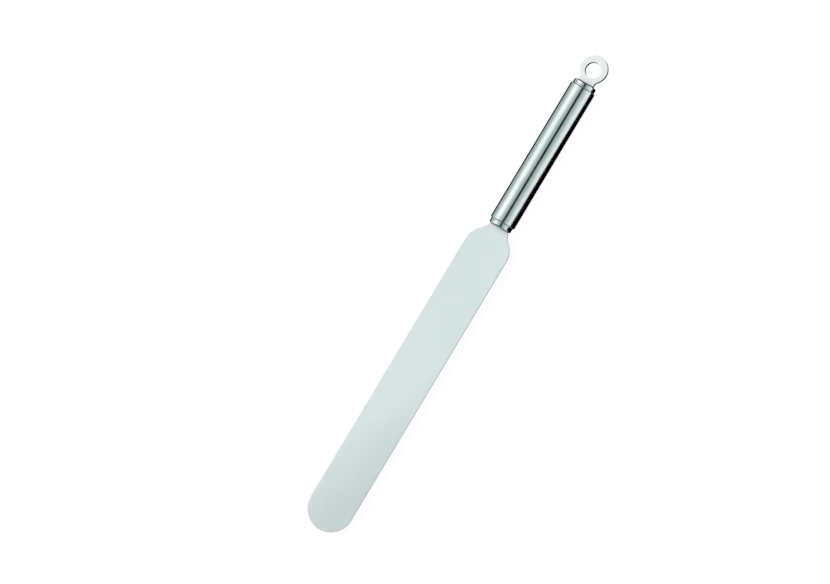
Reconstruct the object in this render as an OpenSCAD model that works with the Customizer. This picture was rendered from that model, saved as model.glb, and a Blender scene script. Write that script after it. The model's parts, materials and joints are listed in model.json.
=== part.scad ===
// Palette knife (icing spatula) in stainless steel: a long flexible blade with a full-round tip,
// held in a round tubular handle that two turned plugs close, with a hanging eye at the back.
// It lies flat. +X points at the blade's tip, +Z out of the blade's face, z = 0 is the handle's
// underside and x = 0 is halfway along the whole tool. Millimetres.

/* [Blade] */
// Blade length from the front plug's face to the tip
blade_len = 258.5; // [180:0.5:320]
// Blade width
blade_w = 35.5; // [34:0.5:42]
// Blade thickness at the handle and along the tang
blade_root_t = 1.3; // [1:0.1:1.6]
// Blade thickness at the tip, ground thinner so that the blade flexes
blade_tip_t = 0.8; // [0.6:0.1:1]
// Distance from the plug's face to where the blade has its full width
shoulder_len = 19.25; // [18.5:0.25:20.5]
// Radius of the convex shoulder
shoulder_r = 16; // [15:0.5:17]
// Radius of the concave neck that runs into the plug
neck_r = 17; // [16:0.5:19]
// Steepest slope of the shoulder's edge, in degrees
shoulder_slope = 48; // [46:1:50]
// Length of the tang behind the plug's face
tang_len = 25; // [22:1:28]
// Width of the tang inside the handle
tang_w = 10; // [8:0.5:12]

/* [Handle] */
// Outer diameter of the handle tube
tube_d = 20; // [19:0.5:22]
// Wall of the handle tube
tube_wall = 1; // [0.8:0.1:1.2]
// Length of the handle tube
tube_len = 115; // [90:1:140]
// Rounding of the tube's outer edges
tube_edge_r = 0.5; // [0.3:0.1:0.7]

/* [Plugs] */
// Length of each plug that shows outside the tube
collar_len = 4.1; // [3.4:0.1:6]
// Rounding of the collar's rim
rim_r = 1.2; // [0.8:0.1:1.2]
// Length of the front plug inside the tube
front_spigot_len = 24; // [20:1:30]
// Length of the rear plug inside the tube
rear_spigot_len = 12; // [12:1:20]
// Distance from the collar's face to its turned groove
groove_at = 2.2; // [1.8:0.1:2.5]
// Width of the turned groove
groove_w = 0.4; // [0.3:0.1:0.5]
// Depth of the turned groove
groove_depth = 0.2; // [0.1:0.05:0.3]

/* [Hanging eye] */
// Thickness of the eye's plate
eye_t = 3.5; // [2.5:0.1:4]
// Outer radius of the eye
eye_r = 10.4; // [9.5:0.1:11]
// Radius of the hole
hole_r = 6.05; // [5:0.05:6.5]
// Distance from the rear plug's face to the centre of the eye
eye_reach = 12.2; // [11.8:0.1:14]
// How much nearer to the handle the hole's centre is than the eye's
hole_inset = 1; // [0:0.1:1.2]
// Width of the eye's neck
eye_neck_w = 12.5; // [11:0.5:13]
// Radius of the fillet between the neck and the eye
eye_fillet_r = 5; // [4:0.5:6]
// Length of the shank behind the rear plug's face
shank_len = 15; // [12:1:16]
// Width of the shank inside the handle
shank_w = 10; // [8:0.5:11]

/* [Pins and welds] */
// Radius of the cross pins
pin_r = 1.5; // [1:0.1:1.8]
// Length of the cross pins
pin_len = 15; // [12:1:16]
// Distances of the tang's two pins from the front plug's face
tang_pins_at = [11, 20];
// Distance of the shank's pin from the rear plug's face
shank_pin_at = 10; // [8:0.5:12]
// Size of the bead that closes each seam between a tube end and its collar
seam_bead = 0.5; // [0.3:0.05:0.5]
// Size of the fillets along the blade where it leaves the front plug
blade_bead = 0.5; // [0.3:0.1:0.8]
// Size of the fillets along the eye's neck where it leaves the rear plug
eye_bead = 0.8; // [0.5:0.1:1]

/* [Hidden] */
$fn = 96;

// Clearance between a slot, hole or bore and the piece that sits in it
fit_gap = 0.02;
// Overlap that joins the pieces of one outline
lap = 1;

tube_r = tube_d / 2;
bore_r = tube_r - tube_wall;
plug_r = bore_r - fit_gap;
axis_z = tube_r;
handle_len = tube_len + 2 * collar_len;
overall_len = blade_len + handle_len + eye_reach + eye_r;
front_x = overall_len / 2 - blade_len;
rear_x = front_x - handle_len;

// The shoulder's arc ends where the neck's arc starts, and both have shoulder_slope there
half_w = blade_w / 2;
shoulder_centre = [shoulder_len, half_w - shoulder_r];
neck_dir = [-sin(shoulder_slope), cos(shoulder_slope)];
neck_centre = shoulder_centre + (shoulder_r + neck_r) * neck_dir;
neck_half_w = neck_centre[1] - sqrt(pow(neck_r, 2) - pow(neck_centre[0], 2));
neck_line_y = shoulder_centre[1] + shoulder_len / tan(shoulder_slope);

// The eye's fillet touches the neck's edge and the eye's circle
eye_neck_half_w = eye_neck_w / 2;
fillet_y = eye_neck_half_w + eye_fillet_r;
fillet_x = eye_reach - sqrt(pow(eye_r + eye_fillet_r, 2) - pow(fillet_y, 2));
hole_x = eye_reach - hole_inset;

steel = [0.74, 0.80, 0.80];
satin_steel = [0.82, 0.89, 0.89];
pale_steel = [0.90, 0.94, 0.94];
weld_steel = [0.55, 0.58, 0.58];

// Places the front group: the plug's face is at x = 0 and +X points out of the handle
module at_front() translate([front_x, 0, axis_z]) children();

// Places the rear group the same way, with +X again pointing out of the handle
module at_rear() translate([rear_x, 0, axis_z]) rotate([0, 0, 180]) children();

// A flat plate from several outlines, each extruded on its own and then joined
module plate(thickness)
    for (i = [0 : $children - 1]) linear_extrude(thickness, center = true) children(i);

// A solid of revolution on the X axis; the outline's y is the depth behind the plug's face
module turned() rotate([0, -90, 0]) rotate_extrude() children();

module rectangle(from_x, to_x, width)
    translate([from_x, -width / 2]) square([to_x - from_x, width]);

// The neck, between two concave arcs that end where the shoulder's convex arcs begin
module blade_neck() difference() {
    polygon([[0, -neck_line_y], [0, neck_line_y], shoulder_centre,
             shoulder_centre + [lap, 0], [shoulder_len + lap, -shoulder_centre[1]],
             [shoulder_len, -shoulder_centre[1]]]);
    for (side = [1, -1]) translate([neck_centre[0], side * neck_centre[1]]) circle(neck_r);
}

// The slot for a plate that fills the collar and goes on as a narrower tongue in the spigot
module slot(neck_w, tongue_w, tongue_len, thickness) plate(thickness + 2 * fit_gap) {
    rectangle(-collar_len - fit_gap, lap, neck_w + 2 * fit_gap);
    rectangle(-tongue_len - fit_gap, 0, tongue_w + 2 * fit_gap);
}

// Side view of the blade's thickness, constant in the tang and tapering to the tip
module taper_outline() {
    back = -tang_len - lap;
    root = blade_root_t / 2;
    tip = blade_tip_t / 2;
    polygon([[back, -root], [0, -root], [blade_len, -tip],
             [blade_len, tip], [0, root], [back, root]]);
}

module blade() {
    color(satin_steel) at_front() difference() {
        intersection() {
            plate(blade_root_t) {
                rectangle(-tang_len, 0, tang_w);
                rectangle(-collar_len, 0, 2 * neck_half_w);
                blade_neck();
                translate(shoulder_centre) circle(shoulder_r);
                translate([shoulder_centre[0], -shoulder_centre[1]]) circle(shoulder_r);
                rectangle(shoulder_len, blade_len - half_w, blade_w);
                translate([blade_len - half_w, 0]) circle(half_w);
            }
            rotate([90, 0, 0]) linear_extrude(blade_w + 2 * lap, center = true) taper_outline();
        }
        for (at = tang_pins_at) pin_hole(at);
    }
}

module handle_tube() {
    color(steel) translate([front_x - collar_len, 0, axis_z]) turned() {
        translate([bore_r, 0]) square([tube_wall - tube_edge_r, tube_len]);
        translate([bore_r, tube_edge_r]) square([tube_wall, tube_len - 2 * tube_edge_r]);
        for (y = [tube_edge_r, tube_len - tube_edge_r])
            translate([tube_r - tube_edge_r, y]) circle(tube_edge_r);
    }
}

// A plug with its face at x = 0 and its collar's rim rounded
module plug_body(depth) {
    turned() difference() {
        union() {
            square([plug_r - rim_r, depth]);
            translate([0, rim_r]) square([plug_r, depth - rim_r]);
            translate([plug_r - rim_r, rim_r]) circle(rim_r);
        }
        translate([plug_r - groove_depth, groove_at]) square([groove_depth + lap, groove_w]);
    }
}

module pin(at) translate([-at, 0, 0]) cylinder(r = pin_r, h = pin_len, center = true);

module pin_hole(at)
    translate([-at, 0, 0]) cylinder(r = pin_r + fit_gap, h = tube_d, center = true);

module front_plug() {
    color(steel) at_front() difference() {
        plug_body(collar_len + front_spigot_len);
        slot(2 * neck_half_w, tang_w, tang_len, blade_root_t);
        for (at = tang_pins_at) pin_hole(at);
    }
}

module rear_plug() {
    color(steel) at_rear() difference() {
        plug_body(collar_len + rear_spigot_len);
        slot(eye_neck_w, shank_w, shank_len, eye_t);
        pin_hole(shank_pin_at);
    }
}

// The eye's neck, flaring through two concave fillets into the eye's circle
module eye_neck() difference() {
    polygon([[0, -eye_neck_half_w], [0, eye_neck_half_w], [fillet_x, eye_neck_half_w],
             [fillet_x, fillet_y], [eye_reach, 0], [fillet_x, -fillet_y],
             [fillet_x, -eye_neck_half_w]]);
    for (side = [1, -1]) translate([fillet_x, side * fillet_y]) circle(eye_fillet_r);
}

module hanging_eye() {
    color(pale_steel) at_rear() difference() {
        plate(eye_t) {
            rectangle(-shank_len, 0, shank_w);
            rectangle(-collar_len, 0, eye_neck_w);
            eye_neck();
            translate([eye_reach, 0]) circle(eye_r);
        }
        translate([hole_x, 0, 0]) cylinder(r = hole_r, h = eye_t + 2 * lap, center = true);
        pin_hole(shank_pin_at);
    }
}

// Flat-faced bead that fills the corner between a collar and the end of the tube
module seam_weld() {
    color(weld_steel) translate([-collar_len, 0, 0]) rotate([0, 90, 0]) rotate_extrude()
        polygon([[plug_r, 0], [plug_r + seam_bead, 0], [plug_r, seam_bead]]);
}

module concave_corner(size) difference() {
    square(size);
    translate([size, size]) circle(size);
}

// Concave fillets above and below a plate that leaves the plug's face
module root_weld(plate_w, plate_t, size) {
    color(weld_steel) for (side = [1, -1])
        rotate([90 * side, 0, 0]) linear_extrude(plate_w, center = true)
            translate([0, plate_t / 2]) concave_corner(size);
}

blade();
handle_tube();
front_plug();
rear_plug();
hanging_eye();
color(weld_steel) at_front() pin(tang_pins_at[0]);  // tang_pin_front
color(weld_steel) at_front() pin(tang_pins_at[1]);  // tang_pin_rear
color(weld_steel) at_rear() pin(shank_pin_at);  // shank_pin
at_front() seam_weld();  // front_seam_weld
at_rear() seam_weld();  // rear_seam_weld
at_front() root_weld(2 * neck_half_w, blade_root_t, blade_bead);  // blade_root_weld
at_rear() root_weld(eye_neck_w, eye_t, eye_bead);  // eye_root_weld
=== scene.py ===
import itertools
import json
import math

import bmesh
import bpy
from mathutils import Matrix, Vector


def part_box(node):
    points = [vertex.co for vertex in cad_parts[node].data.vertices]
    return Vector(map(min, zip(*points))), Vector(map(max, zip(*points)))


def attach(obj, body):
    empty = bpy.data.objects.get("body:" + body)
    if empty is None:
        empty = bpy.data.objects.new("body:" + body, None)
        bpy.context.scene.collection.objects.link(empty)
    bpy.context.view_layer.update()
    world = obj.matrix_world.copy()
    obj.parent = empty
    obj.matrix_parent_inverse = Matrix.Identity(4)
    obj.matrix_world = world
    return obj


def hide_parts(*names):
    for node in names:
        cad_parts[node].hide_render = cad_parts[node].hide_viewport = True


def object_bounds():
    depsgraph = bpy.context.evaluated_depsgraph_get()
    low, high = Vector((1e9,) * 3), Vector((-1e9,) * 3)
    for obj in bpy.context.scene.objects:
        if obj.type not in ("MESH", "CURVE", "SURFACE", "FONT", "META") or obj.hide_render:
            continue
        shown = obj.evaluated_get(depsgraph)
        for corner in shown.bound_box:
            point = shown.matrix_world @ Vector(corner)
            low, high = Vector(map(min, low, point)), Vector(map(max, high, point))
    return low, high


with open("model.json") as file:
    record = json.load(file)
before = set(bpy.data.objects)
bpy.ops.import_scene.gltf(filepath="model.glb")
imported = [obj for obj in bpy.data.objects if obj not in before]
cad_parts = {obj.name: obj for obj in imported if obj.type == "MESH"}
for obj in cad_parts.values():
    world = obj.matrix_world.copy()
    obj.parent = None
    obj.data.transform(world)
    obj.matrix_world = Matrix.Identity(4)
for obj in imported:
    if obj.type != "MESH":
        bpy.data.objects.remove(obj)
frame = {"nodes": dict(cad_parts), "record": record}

cad_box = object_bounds()

# ---------------------------------------------------------------- sizes, in metres
MM = 0.001
AXIS_Z = sum(c.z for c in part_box("handle_tube")) / 2

# Blade
SHOULDER_LEN = 19.25 * MM
SHOULDER_R = 16 * MM
NECK_R = 17 * MM
SHOULDER_SLOPE = math.radians(48)
TANG_W = 10 * MM
BLADE_TIP_T = 0.8 * MM
BLADE_EDGE_R = 0.1 * MM

# Handle tube and plugs
TUBE_WALL = 1 * MM
TUBE_EDGE_R = 0.5 * MM
RIM_R = 1.2 * MM
GROOVE_AT = 2.2 * MM
GROOVE_W = 0.4 * MM
GROOVE_DEPTH = 0.2 * MM

# Hanging eye
EYE_NECK_W = 12.5 * MM
SHANK_W = 10 * MM
EYE_FILLET_R = 5 * MM
EYE_EDGE_R = 0.15 * MM
HOLE_INSET = 1 * MM
HOLE_R = frame["record"]["mounts"][0]["dims"]["r_mm"] * MM

# Root beads
BLADE_BEAD = 0.5 * MM
EYE_BEAD = 0.8 * MM
BEAD_STEPS = 6
SUNK = 0.1 * MM             # how far a root bead goes into the plug's face

# Meshes
FIT_GAP = 0.02 * MM
CUTTER_PAST = 1 * MM        # how far a slot's cutter goes out of the plug's face
EDGE_STEPS = 5              # steps in a quarter turn of a plate's rounded edge
RIM_BAND = 0.7 * MM         # a band of flat quads inside a plate's rounded edge
MERGED = 0.002 * MM         # corners nearer than this become one after a cut
SAME_POINT = 1e-7           # metres
STEPS_ROUND = 192
PIN_HOLE_STEPS = 48
ARC_STEP = math.radians(3)
SMOOTH_BELOW = math.radians(35)


# ---------------------------------------------------------------- outlines
def arc(centre, radius, start, end):
    """Points on an arc from start to end, in radians, with both ends."""
    count = max(2, math.ceil(abs(end - start) / ARC_STEP))
    angles = [start + (end - start) * i / count for i in range(count + 1)]
    return [(centre[0] + radius * math.cos(a), centre[1] + radius * math.sin(a)) for a in angles]


def without_repeats(points):
    """The points of a closed outline, without any that repeats the one before it."""
    kept = []
    for i, p in enumerate(points):
        if math.dist(p, points[i - 1]) > SAME_POINT:
            kept.append(p)
    return kept


def mirrored_outline(half):
    """A closed outline from its +Y half, which runs from the handle to the far end."""
    lower = [(x, -y) for x, y in reversed(half)]
    # Anticlockwise: along the -Y side away from the handle, then back along the +Y side.
    return without_repeats(lower[::-1] + half[::-1])


def circle(centre, radius):
    """A closed outline, anticlockwise."""
    return arc(centre, radius, 0, 2 * math.pi)[:-1]


def inset(points, distance):
    """A closed outline moved by distance to the left of its direction, which is into the plate."""
    moved = []
    for i, p in enumerate(points):
        before, after = Vector(points[i - 1]), Vector(points[(i + 1) % len(points)])
        here = Vector(p)
        first, second = (here - before).normalized(), (after - here).normalized()
        left_a, left_b = Vector((-first.y, first.x)), Vector((-second.y, second.x))
        moved.append(tuple(here + (left_a + left_b) * distance / (1 + left_a.dot(left_b))))
    return moved


# ---------------------------------------------------------------- meshes
# The cut edge's slot gets a near-black material, which is painted shade on the plates' thin walls.
FACE, CUT_EDGE = 0, 1       # a plate's material slots


def in_scene(name, bm):
    """A new object in the scene, with the mesh that was built in bm."""
    mesh = bpy.data.meshes.new(name)
    bm.to_mesh(mesh)
    bm.free()
    made = bpy.data.objects.new(name, mesh)
    bpy.context.scene.collection.objects.link(made)
    return made


def finished(name, bm, slot, *materials):
    """The mesh as a piece of the object: smooth where it bends gently, and riding on the root."""
    bmesh.ops.remove_doubles(bm, verts=bm.verts, dist=SAME_POINT)
    bmesh.ops.recalc_face_normals(bm, faces=bm.faces)
    piece = in_scene(name, bm)
    for polygon in piece.data.polygons:
        polygon.use_smooth = True
    piece.data.set_sharp_from_angle(angle=SMOOTH_BELOW)
    for material in materials:
        piece.data.materials.append(material)
    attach(piece, "root")
    return piece


def applied(piece):
    """Leaves the result of the piece's modifiers in its mesh, and no modifiers."""
    evaluated = piece.evaluated_get(bpy.context.evaluated_depsgraph_get())
    mesh = bpy.data.meshes.new_from_object(evaluated)
    piece.modifiers.clear()
    piece.data = mesh


def flat_faces_flat(piece):
    """Weights the normals by face area, so that a rounding doesn't shade the flat beside it."""
    weighted = piece.modifiers.new("weighted", "WEIGHTED_NORMAL")
    weighted.mode = "FACE_AREA"
    weighted.weight = 100
    weighted.keep_sharp = True
    applied(piece)


def ring(bm, points):
    return [bm.verts.new(p) for p in points]


def bridge(bm, first, second, slot_number=FACE):
    """Quads between two closed rings that have the same number of vertices."""
    count = len(first)
    for i in range(count):
        j = (i + 1) % count
        face = bm.faces.new((first[i], first[j], second[j], second[i]))
        face.material_index = slot_number


def plate_mesh(outline, holes, half_thickness, edge_r):
    """A plate with rounded edges. half_thickness(x) is half its thickness at x. Holes run clockwise."""
    bm = bmesh.new()
    rims = {1: [], -1: []}
    for loop in [outline, *holes]:
        rings = []
        for side in (1, -1):
            half = []
            for k in range(EDGE_STEPS + 1):
                turn = math.pi / 2 * k / EDGE_STEPS
                depth = edge_r * (1 - math.sin(turn))
                drop = edge_r * (1 - math.cos(turn))
                flat = inset(loop, depth)
                half.append([(x, y, side * (half_thickness(x) - drop)) for x, y in flat])
            flat = inset(loop, edge_r + RIM_BAND)
            half.insert(0, [(x, y, side * half_thickness(x)) for x, y in flat])
            rings.append(half)
        made = [ring(bm, points) for points in rings[0] + rings[1][::-1]]
        for i, (first, second) in enumerate(zip(made, made[1:])):
            from_middle = abs(i - EDGE_STEPS - 1)
            bridge(bm, first, second, CUT_EDGE if from_middle < EDGE_STEPS - 1 else FACE)
        rims[1].append(made[0])
        rims[-1].append(made[-1])
    for side, loops in rims.items():
        edges = []
        for loop in loops:
            edges += [bm.edges.get((loop[i - 1], loop[i])) for i in range(len(loop))]
        bmesh.ops.triangle_fill(bm, edges=edges, use_beauty=True, normal=(0, 0, side))
    return bm


def turned_mesh(profile):
    """A solid of revolution about the X axis from a closed outline of (x, radius) points."""
    bm = bmesh.new()
    turns = [2 * math.pi * i / STEPS_ROUND for i in range(STEPS_ROUND)]
    rings = []
    for x, radius in profile:
        if radius == 0:
            rings.append([bm.verts.new((x, 0, 0))])
            continue
        rings.append(ring(bm, [(x, radius * math.cos(a), radius * math.sin(a)) for a in turns]))
    for i, first in enumerate(rings):
        second = rings[(i + 1) % len(rings)]
        if len(first) == 1 and len(second) == 1:
            continue
        if len(first) == 1 or len(second) == 1:
            hub, rim = (first[0], second) if len(first) == 1 else (second[0], first)
            for j in range(STEPS_ROUND):
                bm.faces.new((hub, rim[j - 1], rim[j]))
        else:
            bridge(bm, first, second)
    return bm


def placed(bm, matrix):
    bm.transform(matrix)
    return bm


def box_mesh(bm, low, high):
    """Adds a box between two corners."""
    made = [bm.verts.new(corner) for corner in itertools.product(*zip(low, high))]
    for face in ((0, 1, 3, 2), (4, 6, 7, 5), (0, 4, 5, 1), (2, 3, 7, 6), (0, 2, 6, 4), (1, 5, 7, 3)):
        bm.faces.new([made[i] for i in face])


def cut(piece, cutter_bm):
    """Cuts the cutter's shape out of the piece, and clears up slivers that the cut leaves."""
    bmesh.ops.recalc_face_normals(cutter_bm, faces=cutter_bm.faces)
    cutter = in_scene("cutter", cutter_bm)
    boolean = piece.modifiers.new("cut", "BOOLEAN")
    boolean.operation = "DIFFERENCE"
    boolean.solver = "EXACT"
    boolean.use_self = True
    boolean.object = cutter
    bpy.context.view_layer.update()
    applied(piece)
    bpy.data.objects.remove(cutter)
    tidied = bmesh.new()
    tidied.from_mesh(piece.data)
    bmesh.ops.triangulate(tidied, faces=[f for f in tidied.faces if len(f.verts) > 4])
    bmesh.ops.dissolve_degenerate(tidied, edges=tidied.edges, dist=MERGED)
    bmesh.ops.remove_doubles(tidied, verts=tidied.verts, dist=MERGED)
    tidied.to_mesh(piece.data)
    tidied.free()


# ---------------------------------------------------------------- materials
def fill(node, inputs):
    """Sets a node's inputs to values, or links them to the sockets of other nodes."""
    for key, value in dict(inputs).items():
        if isinstance(value, bpy.types.NodeSocket):
            node.id_data.links.new(value, node.inputs[key])
        else:
            node.inputs[key].default_value = value


def node_maker(tree):
    """A function that adds a node to the tree, with its inputs filled and its settings set."""
    def make(kind, inputs=(), **settings):
        node = tree.nodes.new(kind)
        for key, value in settings.items():
            setattr(node, key, value)
        fill(node, inputs)
        return node
    return make


def new_material(name):
    """A new material and its Principled shader."""
    material = bpy.data.materials.new(name)
    material.use_nodes = True
    principled = next(n for n in material.node_tree.nodes if n.type == "BSDF_PRINCIPLED")
    return material, principled


STREAK_LENGTH = 7               # the coarse streaks are this many times as large as the scratches
STREAK_SHARE = 0.45             # of the streaks in the finish, against the scratches
SMEARS_A_METRE = 35.0
SMEAR_RANGE = (0.42, 0.62)      # noise levels where a smear starts and is full
SMEAR_SHARE = 0.3
NOISE_RANGE = (0.3, 0.7)        # noise levels that give the least and the most roughness
BUMP_STRENGTH = 0.3


def brushed(name, colour, roughness, grain, depth, anisotropic=0.0, rotation=0.0, contrast=0.05,
            painted_shade=None):
    """Steel with a directional finish. grain is how often the scratches repeat along X, Y and Z, a metre;
    depth is theirs, in metres; contrast is half of how much darker its dullest streaks are than colour;
    rotation 0 spreads a highlight round the X axis and 0.25 along it; the last argument, (way, start, end,
    level), is painted shade that darkens the colour along way, from start on, to level at end."""
    material, principled = new_material(name)
    make = node_maker(material.node_tree)
    place = make("ShaderNodeTexCoord").outputs["Object"]

    fine = make("ShaderNodeMapping", {"Vector": place, "Scale": grain})
    scratches = make("ShaderNodeTexNoise", {"Vector": fine.outputs[0], "Scale": 1.0, "Detail": 4.0,
                                            "Roughness": 0.65})
    coarse = make("ShaderNodeMapping", {"Vector": place, "Scale": [g / STREAK_LENGTH for g in grain]})
    streaks = make("ShaderNodeTexNoise", {"Vector": coarse.outputs[0], "Scale": 1.0, "Detail": 3.0})
    smears = make("ShaderNodeTexNoise", {"Vector": place, "Scale": SMEARS_A_METRE, "Detail": 4.0,
                                         "Distortion": 0.6})

    # Handling leaves faint duller patches over the scratches and streaks.
    worn = make("ShaderNodeMapRange", {"Value": smears.outputs["Fac"], "From Min": SMEAR_RANGE[0],
                                       "From Max": SMEAR_RANGE[1]})
    blend = make("ShaderNodeMix", {"Factor": STREAK_SHARE, "A": scratches.outputs["Fac"],
                                   "B": streaks.outputs["Fac"]})
    mottled = make("ShaderNodeMix", {"Factor": SMEAR_SHARE, "A": blend.outputs[0], "B": worn.outputs[0]})
    rough = make("ShaderNodeMapRange", {"Value": mottled.outputs[0], "From Min": NOISE_RANGE[0],
                                        "From Max": NOISE_RANGE[1], "To Min": roughness[0],
                                        "To Max": roughness[1]})

    # Sockets 6 and 7 and output 2 are the Mix node's colours.
    dullest = [c * (1 - 2 * contrast) for c in colour]
    shade = make("ShaderNodeMix", {"Factor": mottled.outputs[0], 6: (*colour, 1), 7: (*dullest, 1)},
                 data_type="RGBA")
    shown = shade.outputs[2]
    # Painted shade: the colour darkens along way, from start on, to level at end.
    if painted_shade:
        way, start, end, darkest = painted_shade
        along = make("ShaderNodeVectorMath", {0: place, 1: way}, operation="DOT_PRODUCT").outputs["Value"]
        level = make("ShaderNodeMapRange", {"Value": along, "From Min": start, "From Max": end,
                                            "To Min": 1.0, "To Max": darkest})
        painted_shade_colour = make("ShaderNodeVectorMath", {0: shown, 1: level.outputs[0]}, operation="MULTIPLY")
        shown = painted_shade_colour.outputs[0]

    bump = make("ShaderNodeBump", {"Height": blend.outputs[0], "Strength": BUMP_STRENGTH,
                                   "Distance": depth})
    tangent = make("ShaderNodeTangent", direction_type="RADIAL", axis="X")
    fill(principled, {"Roughness": rough.outputs[0], "Base Color": shown, "Normal": bump.outputs[0],
                      "Tangent": tangent.outputs[0], "Metallic": 1.0, "Anisotropic": anisotropic,
                      "Anisotropic Rotation": rotation})
    return material


ALONG, ACROSS, ALL_ROUND = 40, 2600, 900     # repeats a metre
RINGS = (ACROSS, ALONG, ALONG)
LENGTHWISE = (ALONG, ACROSS, ACROSS)
TUMBLED = (ALL_ROUND, ALL_ROUND, ALL_ROUND)
TURNED_STEEL = (0.68, 0.79, 0.785)
HIGHLIGHT_ALONG = 0.25
# Painted shade: the blade's colour darkens towards one side of its tip, in metres along this direction.
PAINTED_TIP_SHADE = ((1.0, 2.4, 0.0), 0.09, 0.2, 0.85)

handle_steel = brushed("handle_steel", TURNED_STEEL, roughness=(0.14, 0.25), grain=RINGS, depth=0.04 * MM,
                       anisotropic=0.9, rotation=HIGHLIGHT_ALONG, contrast=0.09)
plug_steel = brushed("plug_steel", TURNED_STEEL, roughness=(0.12, 0.20), grain=RINGS, depth=0.03 * MM,
                     anisotropic=0.6, rotation=HIGHLIGHT_ALONG, contrast=0.08)
blade_steel = brushed("blade_steel", (0.87, 1.0, 1.0), roughness=(0.40, 0.48), grain=LENGTHWISE,
                      depth=0.03 * MM, anisotropic=0.6, contrast=0.03, painted_shade=PAINTED_TIP_SHADE)
eye_steel = brushed("eye_steel", (0.92, 1.0, 1.0), roughness=(0.46, 0.54), grain=TUMBLED,
                    depth=0.02 * MM, anisotropic=0.2, contrast=0.02)
# Painted shade: the near-black colour on the plates' cut edges stands in for the shade on these thin walls;
# the roughness is their cut finish.
cut_steel_painted_shade = brushed("cut_steel_painted_shade", (0.11, 0.13, 0.13), roughness=(0.20, 0.30),
                    grain=(ACROSS, ACROSS, ALONG), depth=0.02 * MM)
weld_steel = brushed("weld_steel", (0.48, 0.54, 0.54), roughness=(0.38, 0.48), grain=TUMBLED,
                     depth=0.03 * MM, contrast=0.1)
seam_steel = brushed("seam_steel", (0.80, 0.88, 0.88), roughness=(0.40, 0.50), grain=TUMBLED,
                     depth=0.03 * MM, contrast=0.1)
pin_steel = brushed("pin_steel", (0.5, 0.53, 0.53), roughness=(0.3, 0.4), grain=(ALONG, ALONG, ACROSS),
                    depth=0.02 * MM)


# ---------------------------------------------------------------- places, from the CAD's boxes
def at(x):
    """A place on the tool's axis."""
    return Matrix.Translation((x, 0, AXIS_Z))


FACING_BACK = Matrix.Rotation(math.pi, 4, "Z")
front_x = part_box("front_plug")[1].x
rear_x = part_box("rear_plug")[0].x
front_depth = front_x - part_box("front_plug")[0].x
rear_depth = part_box("rear_plug")[1].x - rear_x
tube_low, tube_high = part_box("handle_tube")
collar_len = front_x - tube_high.x
tube_r = (tube_high.y - tube_low.y) / 2
bore_r = tube_r - TUBE_WALL
plug_r = bore_r - FIT_GAP

blade_low, blade_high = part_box("blade")
half_w = (blade_high.y - blade_low.y) / 2
blade_len = blade_high.x - front_x
tang_len = front_x - blade_low.x
root_half_t = (blade_high.z - blade_low.z) / 2
shoulder_centre = Vector((SHOULDER_LEN, half_w - SHOULDER_R))
neck_dir = Vector((-math.sin(SHOULDER_SLOPE), math.cos(SHOULDER_SLOPE)))
neck_centre = shoulder_centre + neck_dir * (SHOULDER_R + NECK_R)
neck_half_w = neck_centre.y - math.sqrt(NECK_R ** 2 - neck_centre.x ** 2)


def pin_places(face_x, *nodes):
    """How far each pin's axis is behind the plug's face."""
    return [abs(face_x - sum(c.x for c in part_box(n)) / 2) for n in nodes]


tang_pins = pin_places(front_x, "tang_pin_front", "tang_pin_rear")
shank_pins = pin_places(rear_x, "shank_pin")
pin_low, pin_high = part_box("shank_pin")
pin_hole_r = (pin_high.x - pin_low.x) / 2 + FIT_GAP


# ---------------------------------------------------------------- blade
def blade_outline():
    meets = math.pi / 2 + SHOULDER_SLOPE
    neck_start = math.atan2(neck_half_w - neck_centre.y, -neck_centre.x)
    half = [(-tang_len, TANG_W / 2), (-collar_len, TANG_W / 2), (-collar_len, neck_half_w)]
    half += arc(neck_centre, NECK_R, neck_start, meets - math.pi)
    half += arc(shoulder_centre, SHOULDER_R, meets, math.pi / 2)
    half += arc((blade_len - half_w, 0), half_w, math.pi / 2, 0)
    return mirrored_outline(half)


def blade_half_thickness(x):
    """The blade thins evenly from the handle to its tip."""
    along = min(max(x / blade_len, 0), 1)
    return root_half_t + (BLADE_TIP_T / 2 - root_half_t) * along


pin_holes = [circle((-d, 0), pin_hole_r)[::-1] for d in tang_pins]
blade_bm = plate_mesh(blade_outline(), pin_holes, blade_half_thickness, BLADE_EDGE_R)
blade = finished("blade_sheet", placed(blade_bm, at(front_x)), "blade_steel", blade_steel, cut_steel_painted_shade)
flat_faces_flat(blade)
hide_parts("blade")


# ---------------------------------------------------------------- handle tube and plugs
def tube_profile():
    low_x, high_x = tube_low.x, tube_high.x
    near_r = tube_r - TUBE_EDGE_R
    points = [(low_x, bore_r)]
    points += arc((low_x + TUBE_EDGE_R, near_r), TUBE_EDGE_R, math.pi, math.pi / 2)
    points += arc((high_x - TUBE_EDGE_R, near_r), TUBE_EDGE_R, math.pi / 2, 0)
    return points + [(high_x, bore_r)]


def plug_profile(depth):
    """A plug with its face at x = 0 and its body towards -X."""
    points = [(0, 0)]
    points += arc((-RIM_R, plug_r - RIM_R), RIM_R, 0, math.pi / 2)
    points += [(-GROOVE_AT, plug_r), (-GROOVE_AT, plug_r - GROOVE_DEPTH)]
    points += [(-GROOVE_AT - GROOVE_W, plug_r - GROOVE_DEPTH), (-GROOVE_AT - GROOVE_W, plug_r)]
    return points + [(-depth, plug_r), (-depth, 0)]


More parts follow.
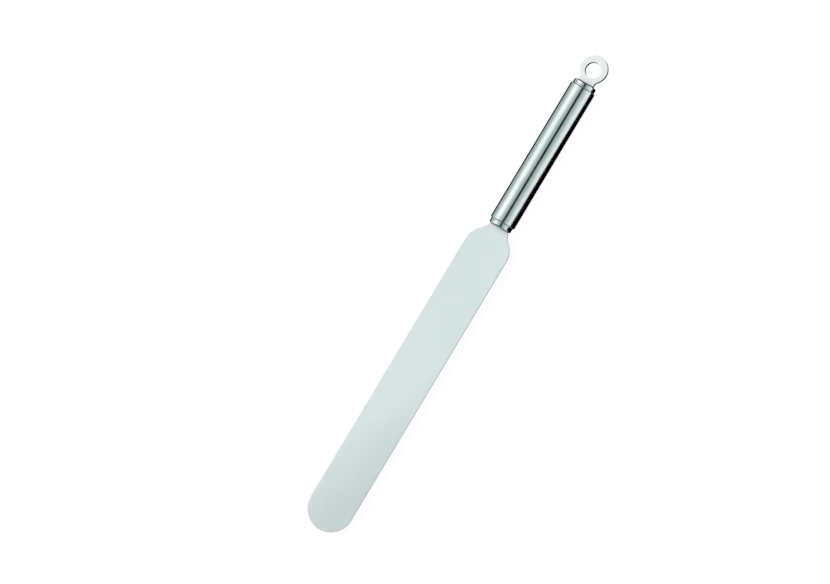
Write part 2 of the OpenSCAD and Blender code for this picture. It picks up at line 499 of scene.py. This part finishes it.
def slot_cutter(neck_w, tongue_w, tongue_len, thickness, pins):
    """The space for a plate's neck, tongue and pins, in a plug with its face at x = 0."""
    bm = bmesh.new()
    half_t = thickness / 2 + FIT_GAP
    # The boxes end at different places outside the plug, so that their ends don't coincide.
    for width, length, past in ((neck_w, collar_len, CUTTER_PAST), (tongue_w, tongue_len, CUTTER_PAST / 2)):
        half_width = width / 2 + FIT_GAP
        box_mesh(bm, (-length - FIT_GAP, -half_width, -half_t), (past, half_width, half_t))
    for d in pins:
        bmesh.ops.create_cone(bm, cap_ends=True, segments=PIN_HOLE_STEPS, radius1=pin_hole_r,
                              radius2=pin_hole_r, depth=4 * plug_r,
                              matrix=Matrix.Translation((-d, 0, 0)))
    return bm


tube = finished("handle_sleeve", placed(turned_mesh(tube_profile()), at(0)), "handle_steel", handle_steel)
flat_faces_flat(tube)
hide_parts("handle_tube")


def plug(name, node, depth, place, cutter):
    """Makes a turned plug, its face at the place, and cuts it."""
    piece = finished(name, placed(turned_mesh(plug_profile(depth)), place), "plug_steel", plug_steel)
    cut(piece, placed(cutter, place))
    piece.data.set_sharp_from_angle(angle=SMOOTH_BELOW)
    flat_faces_flat(piece)
    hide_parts(node)


front_slot = slot_cutter(2 * neck_half_w, TANG_W, tang_len, 2 * root_half_t, tang_pins)
plug("front_collar", "front_plug", front_depth, at(front_x), front_slot)

# ---------------------------------------------------------------- hanging eye
eye_low, eye_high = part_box("hanging_eye")
eye_r = (eye_high.y - eye_low.y) / 2
eye_t = eye_high.z - eye_low.z
eye_reach = rear_x - eye_low.x - eye_r
shank_len = eye_high.x - rear_x
rear_slot = slot_cutter(EYE_NECK_W, SHANK_W, shank_len, eye_t, shank_pins)
# Known fault: the Boolean opens neither the slot nor the pin hole in this plug, so the eye's shank and
# its pin run through solid metal. The tube, the eye's plate and the weld at its root hide that.
plug("rear_collar", "rear_plug", rear_depth, at(rear_x) @ FACING_BACK, rear_slot)


def eye_outline():
    neck_y = EYE_NECK_W / 2
    fillet_y = neck_y + EYE_FILLET_R
    fillet_x = eye_reach - math.sqrt((eye_r + EYE_FILLET_R) ** 2 - fillet_y ** 2)
    meets = math.atan2(-fillet_y, eye_reach - fillet_x)
    half = [(-shank_len, SHANK_W / 2), (-collar_len, SHANK_W / 2), (-collar_len, neck_y)]
    half += arc((fillet_x, fillet_y), EYE_FILLET_R, -math.pi / 2, meets)
    half += arc((eye_reach, 0), eye_r, meets + math.pi, 0)
    return mirrored_outline(half)


eye_holes = [circle((eye_reach - HOLE_INSET, 0), HOLE_R)[::-1]]
eye_holes += [circle((-d, 0), pin_hole_r)[::-1] for d in shank_pins]
eye_bm = plate_mesh(eye_outline(), eye_holes, lambda x: eye_t / 2, EYE_EDGE_R)
eye = finished("eye_plate", placed(eye_bm, at(rear_x) @ FACING_BACK), "eye_steel", eye_steel, cut_steel_painted_shade)
flat_faces_flat(eye)
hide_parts("hanging_eye")


# ---------------------------------------------------------------- welds
def seam_bead(name, node, tube_end, outward):
    """Flat-faced bead in the corner between a collar and the tube's end, with outward +1 or -1 along X."""
    low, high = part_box(node)
    size = (high.y - low.y) / 2 - plug_r
    section = [(tube_end, plug_r), (tube_end + outward * size, plug_r), (tube_end, plug_r + size)]
    piece = finished(name, placed(turned_mesh(section), at(0)), "weld_steel", seam_steel)
    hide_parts(node)


seam_bead("front_seam", "front_seam_weld", tube_high.x, 1)
seam_bead("rear_seam", "rear_seam_weld", tube_low.x, -1)


def rounded_rectangle(half_y, half_z, radius):
    """A closed outline, anticlockwise."""
    points = []
    for i, (sy, sz) in enumerate(((1, 1), (-1, 1), (-1, -1), (1, -1))):
        centre = (sy * (half_y - radius), sz * (half_z - radius))
        points += arc(centre, radius, i * math.pi / 2, (i + 1) * math.pi / 2)
    return without_repeats(points)


def root_bead(name, node, place, half_y, half_z, corner_r, size):
    """Concave bead round a plate where it leaves a plug's face."""
    bm = bmesh.new()
    loops = []
    for k in range(BEAD_STEPS + 1):
        turn = math.pi / 2 * k / BEAD_STEPS
        out, up = size * (1 - math.cos(turn)), size * (1 - math.sin(turn))
        loop = rounded_rectangle(half_y + out, half_z + out, corner_r + out)
        loops.append(ring(bm, [(up, y, z) for y, z in loop]))
    loops.append(ring(bm, [(-SUNK, y, z) for y, z in loop]))
    loop = rounded_rectangle(half_y, half_z, corner_r)
    loops.append(ring(bm, [(-SUNK, y, z) for y, z in loop]))
    for first, second in zip(loops, loops[1:] + loops[:1]):
        bridge(bm, first, second)
    piece = finished(name, placed(bm, place), "weld_steel", weld_steel)
    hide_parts(node)


root_bead("blade_weld", "blade_root_weld", at(front_x), neck_half_w, root_half_t, BLADE_EDGE_R,
          BLADE_BEAD)
root_bead("eye_weld", "eye_root_weld", at(rear_x) @ FACING_BACK, EYE_NECK_W / 2, eye_t / 2, EYE_EDGE_R,
          EYE_BEAD)

for node in ("tang_pin_front", "tang_pin_rear", "shank_pin"):
    pin = frame["nodes"][node]
    pin.data.materials.clear()
    pin.data.materials.append(pin_steel)


# ---------------------------------------------------------------- floor and dark card
FLOOR_REACH = 6.0                   # metres from the middle to each side
FLOOR_GREY = 0.16                   # dark, so that the tool's shadow on it is faint
FLOOR_GLOW = 0.925                  # brings the floor up to white

CARD_BESIDE = 0.3                   # metres from the handle's axis, towards +Y
CARD_BOTTOM = -0.6
CARD_TOP = (85, 98)                 # degrees from straight up, at the handle's front and rear ends
CARD_REACH = (-0.3, 0.1)            # metres along X from the handle's front end to the card's ends


def matt(piece, grey):
    """Gives a piece of the studio a plain material without a shine, and returns its shader."""
    material, principled = new_material(piece.name)
    fill(principled, {"Base Color": (grey, grey, grey, 1), "Specular IOR Level": 0.0})
    piece.data.materials.append(material)
    return principled


def make_floor():
    bm = bmesh.new()
    bmesh.ops.create_grid(bm, x_segments=1, y_segments=1, size=FLOOR_REACH)
    floor = in_scene("floor", bm)
    floor.visible_glossy = False
    fill(matt(floor, FLOOR_GREY), {"Roughness": 1.0, "Emission Color": (1, 1, 1, 1),
                                   "Emission Strength": FLOOR_GLOW})


make_floor()


def make_dark_card():
    """A black card beside the handle, seen only in reflections, whose top edge drops towards the eye."""
    ends = []
    for x, degrees in zip((tube_high.x, tube_low.x), CARD_TOP):
        rise = CARD_BESIDE / math.tan(math.radians(degrees))
        ends.append(Vector((x, CARD_BESIDE, AXIS_Z + rise)))
    slope = (ends[0] - ends[1]) / (ends[0].x - ends[1].x)
    top = [ends[0] + slope * reach for reach in CARD_REACH]
    bottom = [Vector((corner.x, CARD_BESIDE, CARD_BOTTOM)) for corner in reversed(top)]
    bm = bmesh.new()
    bm.faces.new([bm.verts.new(corner) for corner in top + bottom])
    card = in_scene("dark_card", bm)
    card.visible_camera = card.visible_diffuse = card.visible_shadow = False
    matt(card, 0)


make_dark_card()

# ---------------------------------------------------------------- studio light
CAMERA_TILT = math.radians(14)      # the camera leans this far off the blade's normal, towards +Y

# Brightness of the studio round the handle's axis, in degrees from straight up towards +Y
STUDIO = [(-180, 0), (-116, 0), (-110, 0.75), (-104, 0.6), (-94, 0.47), (-81, 0.64), (-69, 0.92), (-54, 1.16),
          (-42, 1.17), (-28, 0.92), (-14, 0.59), (-3, 0.5), (4, 0.44), (6.5, 0), (19.5, 0), (22.5, 0.34),
          (32, 0.48), (40, 0.53), (48, 0.63), (57, 0.79), (66, 0.87), (80, 1.03), (96, 1.0), (116, 0),
          (180, 0)]

# How that changes along X. A direction leans 0 where it is square to the handle, and 1 along it.
# Each line has where a change starts and ends, and the brightness at each.
LIFT = (0.14, 0.32, 1.0, 2.35)      # by lean: the panels are brightest a little way off to each end
DROP = (0.42, 0.6, 1.0, 0.35)       # by lean: and dimmer again farther out
FADE = (0.37, 0.45)                 # by lean, less half of how far it goes sideways: the ends take over
SIDEWAYS = -0.5
END_HIGH = (0.08, 0.2, 0.3, 0.02)   # by height: the ends are dark above the horizon
END_LOW = (-0.2, 0.0)               # by height: and dark below it
COOL_SHADE = 1.15                   # red is the brightness to this power, so dim panels are blue-green
BACKDROP = 1.0


def make_studio():
    world = bpy.data.worlds.new("studio")
    bpy.context.scene.world = world
    world.use_nodes = True
    tree = world.node_tree
    tree.nodes.clear()
    make = node_maker(tree)

    def reckoned(operation, *values):
        return make("ShaderNodeMath", dict(enumerate(values)), operation=operation).outputs[0]

    def ranged(value, start, end, low=0.0, high=1.0, kind="SMOOTHSTEP"):
        inputs = {"Value": value, "From Min": start, "From Max": end, "To Min": low, "To Max": high}
        return make("ShaderNodeMapRange", inputs, interpolation_type=kind).outputs[0]

    def mixed(factor, first, second):
        return make("ShaderNodeMix", {"Factor": factor, "A": first, "B": second}).outputs[0]

    way = make("ShaderNodeSeparateXYZ", {0: make("ShaderNodeTexCoord").outputs["Generated"]}).outputs
    turn = reckoned("ARCTAN2", way["Y"], way["Z"])
    ramp = make("ShaderNodeValToRGB", {"Fac": ranged(turn, -math.pi, math.pi, kind="LINEAR")})
    stops = ramp.color_ramp.elements
    while len(stops) > 1:
        stops.remove(stops[0])
    for i, (degrees, level) in enumerate(STUDIO):
        share = (degrees + 180) / 360
        stop = stops[0] if i == 0 else stops.new(share)
        stop.position = share
        stop.color = (level, level, level, 1)

    lean = reckoned("ABSOLUTE", way["X"])
    lit = reckoned("MULTIPLY", ranged(lean, *LIFT), ranged(lean, *DROP))
    panels = reckoned("MULTIPLY", ramp.outputs["Color"], lit)
    toward_end = reckoned("MULTIPLY_ADD", reckoned("ABSOLUTE", way["Y"]), SIDEWAYS, lean)
    ends = reckoned("MULTIPLY", ranged(way["Z"], *END_HIGH), ranged(way["Z"], *END_LOW, kind="LINEAR"))
    reflected = mixed(ranged(toward_end, *FADE), panels, ends)

    # Behind everything the backdrop is plain white.
    shown = mixed(make("ShaderNodeLightPath").outputs["Is Camera Ray"], reflected, BACKDROP)
    red = reckoned("POWER", shown, COOL_SHADE)
    cool = make("ShaderNodeCombineXYZ", {"X": red, "Y": shown, "Z": shown}).outputs[0]
    background = make("ShaderNodeBackground", {"Color": cool, "Strength": 1.0}).outputs[0]
    make("ShaderNodeOutputWorld", {"Surface": background})


make_studio()

# ---------------------------------------------------------------- camera
LENS, SENSOR = 200.0, 36.0          # millimetres
CLIP_START, CLIP_END = 0.1, 50      # metres
FRAME_WIDTH = 0.6103                # metres across the picture at the object
HANDLE_UP = math.radians(59.04)     # the tool's slope in the picture, handle end up

# Where the picture's centre is, in tool lengths from the tool's centre
AIM_ALONG = 0.0403
AIM_ACROSS = -0.0715


def make_camera():
    low, high = cad_box
    length = high.x - low.x
    across = Vector((0, math.cos(CAMERA_TILT), -math.sin(CAMERA_TILT)))
    back = Vector((0, math.sin(CAMERA_TILT), math.cos(CAMERA_TILT)))
    along = Vector((1, 0, 0))
    right = -math.cos(HANDLE_UP) * along + math.sin(HANDLE_UP) * across
    up = -math.sin(HANDLE_UP) * along - math.cos(HANDLE_UP) * across
    aim = (low + high) / 2 + along * AIM_ALONG * length + across * AIM_ACROSS * length
    distance = FRAME_WIDTH * LENS / SENSOR
    camera = bpy.data.objects.new("camera", bpy.data.cameras.new("camera"))
    bpy.context.scene.collection.objects.link(camera)
    camera.data.lens, camera.data.sensor_width = LENS, SENSOR
    camera.data.clip_start, camera.data.clip_end = CLIP_START, CLIP_END
    camera.matrix_world = Matrix((right, up, back)).transposed().to_4x4()
    camera.location = aim + back * distance
    bpy.context.scene.camera = camera


make_camera()
bpy.context.scene.view_settings.view_transform = "Standard"
